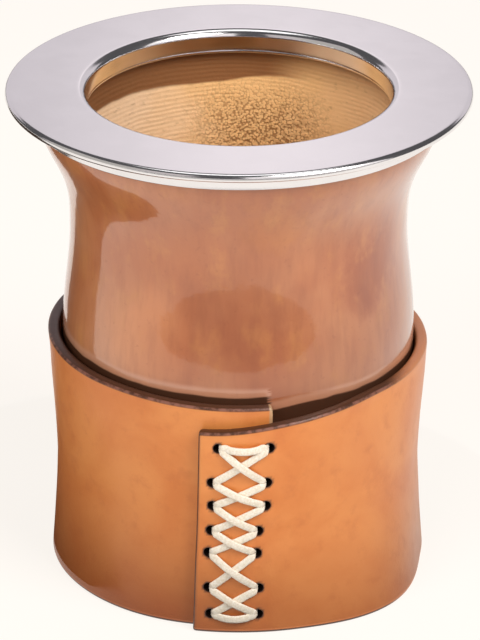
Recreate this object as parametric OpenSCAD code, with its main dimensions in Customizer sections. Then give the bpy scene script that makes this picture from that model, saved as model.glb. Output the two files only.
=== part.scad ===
// Mate cup: a dried gourd with a wide steel rim and a laced leather sleeve.
// Millimetres, +Z up. The origin is the middle of the base, on the table.

/* [Overall] */
// Height from the table to the top of the rim
total_h = 105; // [98:1:135]

/* [Steel rim] */
// Outer diameter of the flat flange
rim_d = 96; // [92:1:120]
// Inside diameter of the mouth
mouth_d = 62.8; // [50:0.2:64]
// Thickness of the flange
rim_t = 1.3; // [0.8:0.1:1.6]
// Diameter of the roll along the flange's outer edge
edge_d = 1.8; // [1.7:0.1:2.2]
// Radius of the roll from the flange into the mouth
lip_r = 1.6; // [1:0.1:2.5]
// Thickness of the collar inside the mouth
collar_t = 0.8; // [0.5:0.1:1.2]
// Depth of the collar below the top of the flange
collar_h = 5.1; // [3.5:0.1:9]
// Radius of the bead along the foot of the collar
bead_r = 0.45; // [0.3:0.05:0.5]
// How far the skirt's top lies in from the edge of the flange
skirt_inset = 2.3; // [1.5:0.1:4]
// Height of the skirt below the flange
skirt_h = 3.9; // [2.5:0.1:6]
// Thickness of the skirt
skirt_t = 0.8; // [0.5:0.1:1.2]

/* [Gourd] */
// Outer diameter of the gourd's flared top, inside the skirt
flare_d = 83; // [80:0.2:86]
// Height of the flare, from the waist up to the flange
flare_h = 28; // [20:0.5:36]
// Outer diameter at the waist
waist_d = 70.2; // [69:0.2:72]
// Outer diameter at the belly
belly_d = 73.6; // [72.6:0.2:76]
// Height of the belly above the table
belly_z = 53; // [48:1:56]
// Outer diameter above the rounded foot
foot_d = 70.6; // [69:0.2:72]
// Height at which the rounded foot begins
foot_z = 21; // [16:1:28]
// Thickness of the gourd's side wall, below the flare
gourd_wall = 3.2; // [2.5:0.1:6]
// Gap between the steel collar and the inside of the gourd
collar_gap = 1.7; // [1:0.1:3]
// Thickness of the gourd's floor
gourd_floor = 5.5; // [4:0.1:8]
// Space between the table and the gourd's rounded foot
foot_lift = 0.6; // [0.3:0.1:3]

/* [Leather sleeve] */
// Height of the sleeve at the flap's free edge
sleeve_h = 46.5; // [38:0.5:50]
// How much higher the covered end of the strip stands
sleeve_rise = 4.5; // [0:0.1:5]
// Thickness of the leather
leather_t = 2.5; // [1.6:0.1:3]
// Gap between the leather and the gourd
sleeve_fit = 0.4; // [0.3:0.05:0.5]
// Height of the sleeve's narrowest place
grip_z = 23; // [18:1:30]
// How far the top edge leans out from the narrowest place
top_flare = 1.3; // [0:0.1:3]
// How far the bottom edge leans out from the narrowest place
base_flare = 1.4; // [0:0.1:3]
// Bevel along the edges of the leather
edge_bevel = 0.5; // [0.2:0.1:0.7]
// Angle of the flap's free edge, from the front
flap_start = -12; // [-16:0.5:-11]
// Angle of the covered end of the strip, from the front
flap_end = 14; // [12:0.5:20]
// How far the flap bulges out at the base, past the covered end
flap_bulge = 2.4; // [0:0.1:3]

/* [Lacing] */
// Play of the lace in its holes
hole_play = 0.13; // [0.1:0.01:0.4]
// Diameter of the lace, gathered to a round cord
lace_d = 0.85; // [0.7:0.05:0.9]
// Half of the distance between the two rows of holes
lace_gauge = 5; // [4:0.1:6]
// Distance from the top edge of the flap to the first holes
top_margin = 3.5; // [3:0.1:6]
// Height of the last holes above the table
base_margin = 4.5; // [4:0.1:8]

/* [Hidden] */
$fn = 96;

flange_bottom = total_h - rim_t;
mouth_r = mouth_d / 2;
collar_bottom = total_h - collar_h;
seat_gap = 0.15;                     // clearance between the skirt and the gourd
waist_z = flange_bottom - flare_h;
skirt_z = flange_bottom - skirt_h;   // the flare ends here, and the wall stands upright
flare_ease = 1.55;                   // above 1, the flare opens late in its height
arc_steps = 12;
profile_steps = 40;

lap_gap = 0.15;                      // between the two layers of the strip
bevel_z = 0.8;                       // the bevel reaches this far down the face
angle_step = 5;                      // between the sections of the strip
strip_turn = 360 + flap_end - flap_start;
rise_at = [0, 40, 125, 270, strip_turn];     // angles along the strip where its top edge turns
rise_share = [0, 0.55, 0.55, 1.2, 1];        // and the share of the rise reached at each
top_settle = 60;                     // the flap lies on the gourd again, at the top
base_settle = 95;                    // and at the base
seam_reach = 40;                     // half the angle that the lacing pulls on
base_pull = 0.6;                     // how far the lacing draws in the base
pull_end = 4;                        // the pull is gone this far below the narrowest place
top_curl = 1.5;                      // above 1, the top edge leans out late
base_curl = 1.3;                     // and so does the bottom edge
lace_room = lace_d + 0.35;           // between leather and gourd behind the lacing

hole_shares = [1, 0.79, 0.65, 0.5, 0.37, 0.16, 0];           // heights, top row first
left_wander = [-1.1, 0.1, 0, 0.3, 0.8, 0.9, 0.6];            // hand-punched, so uneven
right_wander = [1.3, 0.8, 0.6, -0.9, -1.2, -0.7, -0.7];
rows = len(hole_shares);
lace_sides = 8;
pair_offset = lace_d / 2 + 0.07;     // two passes lie side by side in each hole
hole_r = pair_offset + lace_d / 2 + hole_play;
lace_lift = lace_d / 2 + 0.1;        // from the leather to the middle of the lace
cross_lift = lace_d + 0.12;          // the later strand rides over the earlier one
outer_bend = 0.7;                    // bend of the lace at a hole's outer mouth
inner_bend = 0.5;                    // and at its inner mouth
high_pass = 105;                     // side of the hole on which a pass comes out
low_pass = -75;                      // and the side left to the other pass

// 0 to 1 with level ends
function ease(u) = (1 - cos(180 * max(0, min(1, u)))) / 2;
function mix(a, b, u) = a + (b - a) * u;

// Outer radius of the gourd above its rounded foot
function gourd_r(z) =
    z > waist_z ? mix(waist_d, flare_d, ease(pow((z - waist_z) / (skirt_z - waist_z), flare_ease))) / 2
    : z > belly_z ? mix(belly_d, waist_d, ease((z - belly_z) / (waist_z - belly_z))) / 2
    : mix(foot_d, belly_d, ease((z - foot_z) / (belly_z - foot_z))) / 2;

// Radius of the hollow inside it
function hollow_r(z) = mix(gourd_r(min(z, waist_z)) - gourd_wall, mouth_r + collar_t + collar_gap,
    ease((z - waist_z) / (flange_bottom - waist_z)));

// Quarter ellipse from the axis at the bottom out to the side, as [r, z]
function bowl(r, z_low, z_high) =
    [for (i = [0 : arc_steps]) let (a = 90 * i / arc_steps)
        [r * sin(a), z_high - (z_high - z_low) * cos(a)]];

module gourd() {
    heights = [for (i = [1 : profile_steps]) mix(foot_z, skirt_z, i / profile_steps)];
    inner_bowl = bowl(foot_d / 2 - gourd_wall, foot_lift + gourd_floor, foot_z);
    color("peru")
    rotate_extrude()
    polygon(concat(
        bowl(foot_d / 2, foot_lift, foot_z),
        [for (z = heights) [gourd_r(z), z]],
        [[flare_d / 2, flange_bottom], [hollow_r(flange_bottom), flange_bottom]],
        [for (i = [profile_steps - 1 : -1 : 0]) [hollow_r(heights[i]), heights[i]]],
        [for (i = [arc_steps : -1 : 0]) inner_bowl[i]]));
}

// Points along an arc of the given centre and radius, as [r, z]
function arc(centre, radius, from, to) =
    [for (i = [0 : arc_steps]) let (a = mix(from, to, i / arc_steps))
        centre + radius * [cos(a), sin(a)]];

module rim_plate() {
    edge_r = edge_d / 2;
    edge_start = -180 + asin((rim_t - edge_r) / edge_r);  // where the roll meets the underside
    lip_centre = [mouth_r + lip_r, total_h - lip_r];
    bead_centre = [mouth_r + collar_t - bead_r, collar_bottom + bead_r];
    color("gainsboro")
    rotate_extrude()
    union() {
        polygon(concat(
            arc([rim_d / 2 - edge_r, total_h - edge_r], edge_r, edge_start, 90),
            arc(lip_centre, lip_r, 90, 180),
            [[mouth_r, collar_bottom + bead_r], [mouth_r + collar_t, collar_bottom + bead_r]],
            [[mouth_r + collar_t, flange_bottom]]));
        translate(bead_centre)
        circle(r = bead_r, $fn = 32);
    }
}

module rim_skirt() {
    foot_r = flare_d / 2 + seat_gap;
    spread = rim_d / 2 - skirt_inset - foot_r;
    // hollow curve: steep at the foot, leaning out under the flange
    face = [for (i = [0 : arc_steps]) let (a = 90 * i / arc_steps)
        [foot_r + skirt_t + (spread - skirt_t) * (1 - cos(a)), flange_bottom - skirt_h * (1 - sin(a))]];
    color("silver")
    rotate_extrude()
    polygon(concat(
        face,
        [[foot_r, flange_bottom], [foot_r, flange_bottom - skirt_h]]));
}

// Outer radius of the covered layer of leather at height z
function body_r(z) = let (
        above = max(0, z - grip_z) / (sleeve_h - grip_z),
        below = max(0, grip_z - z) / grip_z,
        curve = gourd_r(grip_z) + top_flare * pow(above, top_curl) + base_flare * pow(below, base_curl))
    max(curve, gourd_r(z)) + sleeve_fit + leather_t;

// Shift of both layers around the lacing: drawn in at the base, clear of the gourd higher up
function seam_shift(phi, z) =
    let (window = abs(phi) < seam_reach ? pow(cos(90 * phi / seam_reach), 2) : 0)
    window * mix(-base_pull, lace_room - sleeve_fit, ease(z / (grip_z - pull_end)));

// Outer radius of the strip, s degrees along it from the flap's free edge, at height z
function strip_r(s, z) = let (
        covered = flap_end - flap_start + 2,
        settle = mix(base_settle, top_settle, min(1, z / sleeve_h)),
        lift = s > base_settle ? 0
            : (leather_t + lap_gap) * (1 - ease((s - covered) / (settle - covered))),
        wave = sin(180 * (s - covered) / (base_settle - covered)),
        swell = s < covered || s > base_settle ? 0
            : flap_bulge * (1 - min(1, z / sleeve_h)) * pow(wave, 2),
        turn = s + flap_start,
        phi = turn > 180 ? turn - 360 : turn)
    body_r(z) + seam_shift(phi, z) + lift + swell;

// Height of the strip's top edge: it climbs beside the lacing, and again round the back
function strip_top(s) = let (
        k = s < rise_at[1] ? 0 : s < rise_at[2] ? 1 : s < rise_at[3] ? 2 : 3,
        climb = ease((s - rise_at[k]) / (rise_at[k + 1] - rise_at[k])))
    sleeve_h + sleeve_rise * mix(rise_share[k], rise_share[k + 1], climb);

// A point at angle phi from the front, which is -Y
function around(phi, r, z) = [r * sin(phi), -r * cos(phi), z];

// Height of a point on the leather's face, as a share of the height
face_shares = [0.12, 0.28, 0.45, 0.6, 0.75, 0.88];

// Closed outline of the strip at the angle s: up the outer face, then down the inner face
function strip_section(s) = let (
        phi = s + flap_start,
        top = strip_top(s),
        heights = concat([bevel_z], top * face_shares, [top - bevel_z]),
        last = len(heights) - 1)
    concat(
        [around(phi, strip_r(s, 0) - leather_t + edge_bevel, 0)],
        [around(phi, strip_r(s, 0) - edge_bevel, 0)],
        [for (z = heights) around(phi, strip_r(s, z), z)],
        [around(phi, strip_r(s, top) - edge_bevel, top)],
        [around(phi, strip_r(s, top) - leather_t + edge_bevel, top)],
        [for (i = [last : -1 : 0]) around(phi, strip_r(s, heights[i]) - leather_t, heights[i])]);

// A closed solid through a row of rings that have the same number of points
module skin(rings) {
    n = len(rings);
    m = len(rings[0]);
    polyhedron(
        points = [for (ring = rings) each ring],
        faces = concat(
            [[for (j = [m - 1 : -1 : 0]) j]],
            [for (i = [0 : n - 2]) for (j = [0 : m - 1])
                [i * m + j, i * m + (j + 1) % m, (i + 1) * m + (j + 1) % m]],
            [for (i = [0 : n - 2]) for (j = [0 : m - 1])
                [i * m + j, (i + 1) * m + (j + 1) % m, (i + 1) * m + j]],
            [[for (j = [0 : m - 1]) (n - 1) * m + j]]));
}

module sleeve() {
    sections = ceil(strip_turn / angle_step);
    color("sandybrown")
    difference() {
        skin([for (i = [0 : sections]) strip_section(strip_turn * i / sections)]);
        for (k = [0 : rows - 1])
            for (side = [-1, 1])
                rotate([0, 0, hole_phi(side, k)])
                translate([0, 0, hole_z(k)])
                rotate([90, 0, 0])
                translate([0, 0, waist_d / 2])
                cylinder(r = hole_r, h = leather_t * 6, $fn = 24);
    }
}

function hole_z(k) = mix(base_margin, sleeve_h - top_margin, hole_shares[k]);
function hole_x(side, k) = side * (lace_gauge + (side < 0 ? left_wander : right_wander)[k]);
function hole_phi(side, k) = asin(hole_x(side, k) / (body_r(hole_z(k)) + leather_t));

// Radius of the flap's face, and of the covered layer's inner face, in front
function face_r(phi, z) = strip_r(phi - flap_start, z);
function lining_r(phi, z) = strip_r(phi - flap_start + 360, z) - leather_t;

// A point at radius r, x and z away from a hole's axis
function beside(side, k, x, z, r) = around(hole_phi(side, k) + x * 180 / (PI * r), r, hole_z(k) + z);

// The lace's way in through a hole: round the outer mouth, through both layers with its turn
// about the other pass, and round the inner mouth. away is the front strand's direction, as [x, z].
bend_shares = [[1, 0], [0.29, 0.29], [0, 1]];
function pass_in(side, k, outer_a, inner_a, away) = let (
        phi = hole_phi(side, k),
        start = pair_offset * [cos(outer_a), sin(outer_a)],
        end = pair_offset * [cos(inner_a), sin(inner_a)],
        r_out = face_r(phi, hole_z(k) + start[1]),
        r_in = lining_r(phi, hole_z(k) + end[1]))
    concat(
        [for (b = bend_shares) let (p = start + away * outer_bend * b[0])
            beside(side, k, p[0], p[1], face_r(phi, hole_z(k) + p[1]) + lace_lift - outer_bend * b[1])],
        [for (u = [0.25, 0.5, 0.75]) let (a = mix(outer_a, inner_a, u))
            beside(side, k, pair_offset * cos(a), pair_offset * sin(a), mix(r_out, r_in, u))],
        [for (i = [2 : -1 : 0]) let (b = inner_bend * bend_shares[i])
            beside(side, k, end[0] - side * b[0], end[1], r_in - lace_lift + b[1])]);

function reversed(list) = [for (i = [len(list) - 1 : -1 : 0]) list[i]];

// One stitch: out of the left hole in row a, over the front and into the right hole in row b
function stitch(a, b) = let (
        top_bar = a == 0 && b == 0,
        high_left = b < a || top_bar,
        high_right = b > a || top_bar,
        run = [hole_x(1, b) - hole_x(-1, a), hole_z(b) - hole_z(a)],
        away = run / norm(run),
        over = b > a ? cross_lift : 0)
    concat(
        reversed(pass_in(-1, a, high_left ? high_pass : low_pass, high_left ? 270 : 90, away)),
        [for (u = [0.17, 0.33, 0.5, 0.67, 0.83]) let (
                phi = mix(hole_phi(-1, a), hole_phi(1, b), u),
                z = mix(hole_z(a), hole_z(b), u) + (a == b ? (top_bar ? 1 : -1) * pair_offset : 0))
            around(phi, face_r(phi, z) + lace_lift + over * pow(sin(180 * u), 2), z)],
        pass_in(1, b, high_right ? high_pass : low_pass, high_right ? 90 : -90, -away));

// Middle of the run behind the leather, back from the right hole of row k
function back_run(k, high) = let (
        phi = (hole_phi(-1, k) + hole_phi(1, k)) / 2,
        z = hole_z(k) + (high ? 1 : -1) * pair_offset)
    around(phi, lining_r(phi, z) - lace_lift, z);

// The lacing starts behind the lowest left hole, climbs, crosses at the top and comes down again
last_row = rows - 1;
stitches = concat(
    [for (k = [last_row : -1 : 1]) [k, k - 1]],
    [[0, 0]],
    [for (k = [0 : last_row - 1]) [k, k + 1]],
    [[last_row, last_row]]);
lace_tail = 2.5;
tail_r = lining_r(0, base_margin) - lace_lift;
lace_path = concat(
    [beside(-1, last_row, lace_tail, -pair_offset, tail_r)],
    [for (i = [0 : len(stitches) - 1]) let (a = stitches[i][0], b = stitches[i][1])
        each concat(
            stitch(a, b),
            i < len(stitches) - 1 ? [back_run(b, b > a || b == 0 && a == 0)] : [])],
    [beside(1, last_row, -lace_tail, -pair_offset, tail_r)]);

function unit(v) = v / norm(v);
function square_to(v, axis) = unit(v - (v * axis) * axis);

// Rings round a path, each carried on from the one before without a twist
function tube_rings(path, radius, sides) = let (
        last = len(path) - 1,
        along = [for (i = [0 : last]) unit(path[min(last, i + 1)] - path[max(0, i - 1)])],
        normals = [for (i = 0, n = square_to([0, 0, 1], along[0]); i <= last;
            i = i + 1, n = i <= last ? square_to(n, along[i]) : n) n])
    [for (i = [0 : last]) let (side = cross(along[i], normals[i]))
        [for (j = [0 : sides - 1]) let (a = 360 * j / sides)
            path[i] + radius * (cos(a) * normals[i] + sin(a) * side)]];

module lace() {
    color("ivory")
    skin(tube_rings(lace_path, lace_d / 2, lace_sides));
}

gourd();
rim_plate();
rim_skirt();
sleeve();
lace();
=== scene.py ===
# A mate cup: dried gourd with a polished steel rim and a laced leather sleeve.
# Shapes are worked out in millimetres and made in metres. Angles go round from the front (-Y) towards +X.
import math
import bmesh
import bpy
import numpy as np
from mathutils import Matrix, Vector, noise


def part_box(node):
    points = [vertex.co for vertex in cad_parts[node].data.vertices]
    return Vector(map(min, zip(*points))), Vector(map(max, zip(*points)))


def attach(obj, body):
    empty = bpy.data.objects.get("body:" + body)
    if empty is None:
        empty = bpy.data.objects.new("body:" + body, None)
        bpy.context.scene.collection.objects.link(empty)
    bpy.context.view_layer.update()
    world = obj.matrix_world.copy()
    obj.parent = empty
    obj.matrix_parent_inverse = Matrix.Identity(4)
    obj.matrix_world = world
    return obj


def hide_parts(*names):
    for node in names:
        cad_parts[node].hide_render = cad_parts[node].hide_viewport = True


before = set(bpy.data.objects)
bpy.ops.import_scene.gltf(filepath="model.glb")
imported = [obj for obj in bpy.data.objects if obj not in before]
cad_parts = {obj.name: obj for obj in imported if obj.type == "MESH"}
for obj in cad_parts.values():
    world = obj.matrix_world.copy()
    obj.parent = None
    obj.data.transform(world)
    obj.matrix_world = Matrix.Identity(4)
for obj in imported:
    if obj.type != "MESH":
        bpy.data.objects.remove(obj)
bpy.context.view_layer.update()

mm = 0.001


def ease(u):  # 0 to 1 with level ends
    return (1 - np.cos(np.pi * np.clip(u, 0, 1))) / 2


def mix(a, b, u):
    return a + (b - a) * u


def around(phi, r, z):  # a point at an angle in degrees, a radius and a height
    phi = np.radians(phi)
    return np.stack(np.broadcast_arrays(r * np.sin(phi), -r * np.cos(phi), z), -1)


def arc(centre, radius, start, end, steps=12):
    angles = np.radians(np.linspace(start, end, steps + 1))
    return [(centre[0] + radius * math.cos(a), centre[1] + radius * math.sin(a)) for a in angles]


def cloud(points, size, stretch=(1, 1, 1), seed=0.0):  # smooth noise from -1 to 1, with blobs of that size
    scaled = np.asarray(points, float).reshape(-1, 3) / (size * np.array(stretch)) + seed
    return np.array([noise.noise(p) for p in scaled]).reshape(np.shape(points)[:-1])


def ramp01(value, low, high):  # 0 below low, 1 above high
    return ease((np.asarray(value, float) - low) / (high - low))


def squared(value):  # a rounding with a flatter middle
    return np.sign(value) * np.abs(value) ** 0.65


def pushOut(points, distance):  # away from the axis
    flat = points.copy()
    radius = np.maximum(np.hypot(points[..., 0], points[..., 1]), 1e-6)
    flat[..., 0] += points[..., 0] / radius * distance
    flat[..., 1] += points[..., 1] / radius * distance
    return flat


def catmull(at, points, fine):  # a curve through the points, with tangents from their neighbours
    tangents = np.gradient(points, at, axis=0)
    index = np.clip(np.searchsorted(at, fine, side="right") - 1, 0, len(at) - 2)
    span = (at[index + 1] - at[index])[:, None]
    u = ((fine - at[index]) / span[:, 0])[:, None]
    a, b = points[index], points[index + 1]
    ta, tb = tangents[index] * span, tangents[index + 1] * span
    return ((2 * u**3 - 3 * u**2 + 1) * a + (u**3 - 2 * u**2 + u) * ta
            + (-2 * u**3 + 3 * u**2) * b + (u**3 - u**2) * tb)


def addObject(name, data):
    made = bpy.data.objects.new(name, data)
    bpy.context.scene.collection.objects.link(made)
    return made


def makeObject(name, points, faces, sharpAngle=50):
    mesh = bpy.data.meshes.new(name)
    mesh.from_pydata((np.asarray(points).reshape(-1, 3) * mm).tolist(), [], faces)
    shape = bmesh.new()
    shape.from_mesh(mesh)
    bmesh.ops.recalc_face_normals(shape, faces=shape.faces)
    shape.to_mesh(mesh)
    shape.free()
    mesh.polygons.foreach_set("use_smooth", [True] * len(mesh.polygons))
    mesh.set_sharp_from_angle(angle=math.radians(sharpAngle))
    return addObject(name, mesh)


def gridFaces(rows, columns, closedRows=False, closedColumns=True):
    i, j = np.meshgrid(np.arange(rows if closedRows else rows - 1),
                       np.arange(columns if closedColumns else columns - 1), indexing="ij")
    nextRow = (i + 1) % rows
    nextColumn = (j + 1) % columns
    corners = [i * columns + j, i * columns + nextColumn,
               nextRow * columns + nextColumn, nextRow * columns + j]
    return np.stack(corners, -1).reshape(-1, 4).tolist()


def turned(name, outline, columns, relief=None, sharpAngle=50):
    # an outline of (radius, height) turned about the axis; one that doesn't close on itself is capped
    outline = np.array(outline, float)
    phi = np.arange(columns) * 360 / columns
    points = around(phi[None, :], outline[:, :1], outline[:, 1:])
    if relief is not None:
        points = relief(points, outline)
    capped = outline[0, 0] < 1
    faces = gridFaces(len(outline), columns, closedRows=not capped)
    if capped:
        last = (len(outline) - 1) * columns
        faces += [list(range(columns)), list(range(last, last + columns))]
    return makeObject(name, points, faces, sharpAngle)


def swept(name, rings, sharpAngle=50):  # a tube through closed rings of points, with both ends capped
    rings = np.asarray(rings)
    count, sides = rings.shape[:2]
    faces = gridFaces(count, sides)
    last = (count - 1) * sides
    faces += [list(range(sides)), list(range(last, last + sides))]
    return makeObject(name, rings, faces, sharpAngle)


def setPointValues(obj, name, values):
    layer = obj.data.attributes.new(name, "FLOAT", "POINT")
    layer.data.foreach_set("value", np.asarray(values, np.float32).reshape(-1))


def pointsOf(obj):
    flat = np.zeros(len(obj.data.vertices) * 3)
    obj.data.vertices.foreach_get("co", flat)
    return flat.reshape(-1, 3) / mm


def addNode(tree, kind, inputs=None, **settings):
    made = tree.nodes.new("ShaderNode" + kind)
    for key, value in settings.items():
        setattr(made, key, value)
    for key, value in (inputs or {}).items():
        if isinstance(value, bpy.types.NodeSocket):
            tree.links.new(value, made.inputs[key])
        else:
            made.inputs[key].default_value = value
    return made


def combine(tree, operation, a, b):
    return addNode(tree, "Math", {0: a, 1: b}, operation=operation).outputs[0]


def times(tree, a, b):
    return combine(tree, "MULTIPLY", a, b)


def oneMinus(tree, value):
    return combine(tree, "SUBTRACT", 1, value)


def blendColours(tree, amount, first, second, way="MIX"):
    made = addNode(tree, "MixRGB", {"Fac": amount, "Color1": first, "Color2": second}, blend_type=way)
    return made.outputs[0]


def layOver(tree, base, tint, mask, share, way="MIX"):  # tint where the mask is 1, as strongly as the share
    return blendColours(tree, times(tree, mask, share), base, tint, way)


def ramp(tree, value, low, high):  # 0 below low, 1 above high, smooth between
    made = addNode(tree, "MapRange", {"Value": value, "From Min": low, "From Max": high},
                   interpolation_type="SMOOTHSTEP")
    return made.outputs["Result"]


def spread(tree, value, low, high):  # low where the value is 0, high where it is 1
    return addNode(tree, "MapRange", {"Value": value, "To Min": low, "To Max": high}).outputs[0]


def pointValue(tree, name):  # a value stored on the mesh
    return addNode(tree, "Attribute", attribute_name=name).outputs["Fac"]


def noiseField(tree, where, size, detail=3.0, roughness=0.55, stretch=(1, 1, 1), offset=(0, 0, 0),
               distortion=0.0):
    # 0 to 1 noise with blobs of that size in millimetres
    squeeze = [1 / s for s in stretch]
    scaled = addNode(tree, "Mapping", {"Vector": where, "Location": offset, "Scale": squeeze})
    made = addNode(tree, "TexNoise", {"Vector": scaled.outputs[0], "Scale": 1000 / size, "Detail": detail,
                                      "Roughness": roughness, "Distortion": distortion})
    return made.outputs["Fac"]


def cells(tree, where, scale):  # 0 in the middle of each cell, rising towards its edges
    return addNode(tree, "TexVoronoi", {"Vector": where, "Scale": scale}).outputs["Distance"]


def distanceTo(tree, where, centre):
    return addNode(tree, "VectorMath", {0: where, 1: centre}, operation="DISTANCE").outputs["Value"]


def startMaterial(name, **sockets):
    material = bpy.data.materials.new(name)
    material.use_nodes = True
    tree = material.node_tree
    shader = tree.nodes["Principled BSDF"]
    for key, value in sockets.items():
        shader.inputs[key.replace("_", " ")].default_value = value
    where = addNode(tree, "TexCoord").outputs["Object"]
    return material, tree, shader, where


def acrossAndUp(tree, where):  # x and z of a point, in metres
    parts = addNode(tree, "SeparateXYZ", {"Vector": where}).outputs
    return parts["X"], parts["Z"]


def addBump(tree, shader, height, strength, distance, socket="Normal"):
    made = addNode(tree, "Bump", {"Height": height, "Strength": strength, "Distance": distance * mm})
    tree.links.new(made.outputs[0], shader.inputs[socket])


def colour(r, g, b):
    return (r, g, b, 1)


# The gourd's own sizes; its top and base come from the frame.
gourdLow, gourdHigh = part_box("gourd")
gourd = {
    "topRadius": gourdHigh.x / mm,
    "top": gourdHigh.z / mm,
    "base": gourdLow.z / mm,
    "skirtHeight": 3.9,      # upright stretch behind the steel skirt
    "flareHeight": 28,
    "flareEase": 1.55,
    "waistRadius": 35.1,
    "bellyRadius": 36.8,
    "bellyHeight": 53,
    "footRadius": 35.3,
    "footHeight": 21,
    "wall": 3.2,
    "hollowTop": 33.9,       # radius of the hollow under the flange
    "floor": 5.5,
    "pith": 1.0,             # soft lining inside the hard skin
    "gapShadeRise": 0.6,        # painted shade of the gap and painted reflection of the leather's dark edge, on the skin this far above the leather
    "gapShadeBlur": 0.18,
    "rubbedFrom": 1.2,       # and above it the skin is rubbed paler, fading out
    "rubbedTo": 2.4,
    "unevenness": 0.16,
    "columns": 360,
    "pithColumns": 448,
    "pithRows": 118,
    "pithFineFrom": 70,      # height above which the lining is meshed finely, because it shows
    "grooveStep": 0.95,      # scraping marks inside
    "grooveDepth": 0.12,
    "grainDepth": 0.12,
}
waist = gourd["top"] - gourd["flareHeight"]
skirtTop = gourd["top"] - gourd["skirtHeight"]


def gourdRadius(z):
    z = np.asarray(z, float)
    flare = ease(np.clip((z - waist) / (skirtTop - waist), 0, None) ** gourd["flareEase"])
    middle = ease((z - gourd["bellyHeight"]) / (waist - gourd["bellyHeight"]))
    lower = ease((z - gourd["footHeight"]) / (gourd["bellyHeight"] - gourd["footHeight"]))
    belowWaist = np.where(z > gourd["bellyHeight"], mix(gourd["bellyRadius"], gourd["waistRadius"], middle),
                          mix(gourd["footRadius"], gourd["bellyRadius"], lower))
    return np.where(z > waist, mix(gourd["waistRadius"], gourd["topRadius"], flare), belowWaist)


def hollowRadius(z):
    below = gourdRadius(np.minimum(z, waist)) - gourd["wall"]
    return mix(below, gourd["hollowTop"], ease((z - waist) / gourd["flareHeight"]))


def bowl(radius, low, high, steps, first=0.4):  # quarter ellipse from near the axis out to the side
    angles = np.linspace(math.asin(first / radius), math.pi / 2, steps)
    return [(radius * math.sin(a), high - (high - low) * math.cos(a)) for a in angles]


def makeGourd():
    # Hard skin with a plain back, then the pith that lines it, scraped and rough.
    gap = gourd["pith"]
    # closer rows at the heights where the leather ends
    stretches = ((gourd["footHeight"], 45, 22), (45, 55, 56), (55, skirtTop, 44))
    rise = np.concatenate([np.linspace(low, high, count)[1:] for low, high, count in stretches])
    outside = bowl(gourd["footRadius"], gourd["base"], gourd["footHeight"], 22)
    outside += list(zip(gourdRadius(rise), rise))
    outside.append((gourd["topRadius"], gourd["top"]))
    backRise = np.linspace(gourd["footHeight"], gourd["top"], 24)
    back = list(zip(hollowRadius(backRise) + gap, backRise))[::-1]
    floorTop = gourd["base"] + gourd["floor"]
    backFoot = gourd["footRadius"] - gourd["wall"] + gap
    back += bowl(backFoot, floorTop - gap, gourd["footHeight"], 14)[::-1][1:]

    def uneven(points, outline):
        shade = cloud(points, 17, (1, 1, 1.5), 3.1) + 0.35 * cloud(points, 6, (1, 1, 1.6), 8.4)
        free = ramp01(outline[:, 1], 6, 20) * (1 - ramp01(outline[:, 1], skirtTop - 6, skirtTop - 1))
        free[len(outside):] = 0
        return pushOut(points, gourd["unevenness"] * (shade - 0.35) * free[:, None])

    shell = turned("gourdSkin", outside + back, gourd["columns"], uneven)
    points = pointsOf(shell)
    turns = np.degrees(np.arctan2(points[:, 0], -points[:, 1]))
    alongStrip = (turns - tabEnd()) % 360 + tabEnd() - sleeve["flapStart"]
    # where the skin just above the leather gets a band of painted shade and painted reflection of the
    # leather's dark edge
    edge = np.array([stripTop(s) for s in alongStrip])
    edge += gourd["gapShadeRise"] + 0.22 * cloud(points, 4, (1, 1, 1), 6.6)
    above = points[:, 2] - edge
    setPointValues(shell, "gapShade", 1 - ramp01(above, -gourd["gapShadeBlur"], gourd["gapShadeBlur"]))
    setPointValues(shell, "rubbedByLeather", 1 - ramp01(above, gourd["rubbedFrom"], gourd["rubbedTo"]))

    fineRise = np.linspace(gourd["pithFineFrom"], gourd["top"] - 0.02, gourd["pithRows"])
    coarseRise = np.linspace(gourd["footHeight"], gourd["pithFineFrom"], 20)[:-1]
    lining = bowl(gourd["footRadius"] - gourd["wall"], floorTop, gourd["footHeight"], 14)[:-1]
    lining += list(zip(hollowRadius(coarseRise), coarseRise)) + list(zip(hollowRadius(fineRise), fineRise))
    shown = len(lining)
    backing = [(r - 0.04, min(z, gourd["top"] - 0.02)) for r, z in back[:-1]]
    backing.append((back[-1][0], back[-1][1] + 0.04))

    hollows = []

    def scraped(points, outline):
        wander = 1.3 * cloud(points, 22, (1, 1, 1), 5.0) + 0.25 * cloud(points, 5, (1, 1, 1), 1.7)
        turns = (points[..., 2] + wander) * 2 * math.pi / gourd["grooveStep"]
        grooves = np.sin(turns) * (0.55 + 0.6 * cloud(points, 6, (1.5, 1.5, 0.5), 2.2))
        grains = cloud(points, 1.15, (1.2, 1.2, 0.8), 4.0)
        grains += 0.8 * cloud(points, 0.75, (1.2, 1.2, 0.8), 6.0)
        pits = np.clip((grains + 0.05) * 1.6, 0, 1)
        across = points[..., 0] / gourd["waistRadius"]
        # roughest towards the middle and low down
        rough = ease((across + 0.42) / 0.5) * (1 - 0.75 * ease((across - 0.3) / 0.3))
        rough = rough * ramp01(-points[..., 2], -97, -80) + 0.35 * cloud(points, 12, (1, 1, 1), 9.0)
        rough = np.clip(rough, 0.05, 1)
        depth = gourd["grooveDepth"] * grooves * (1.1 - 0.8 * rough) + gourd["grainDepth"] * pits * rough
        depth = np.maximum(depth, -0.12) * ramp01(outline[:, 1], 24, 40)[:, None]
        depth[shown:] = 0
        inGrooves = 0.55 * np.clip(grooves, 0, 1) * (1 - 0.8 * rough)
        hollows.append(np.maximum(pits * rough, inGrooves))
        return pushOut(points, depth)

    pith = turned("gourdPith", lining + backing, gourd["pithColumns"], scraped)
    setPointValues(pith, "hollows", hollows[0])
    return shell, pith


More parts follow.
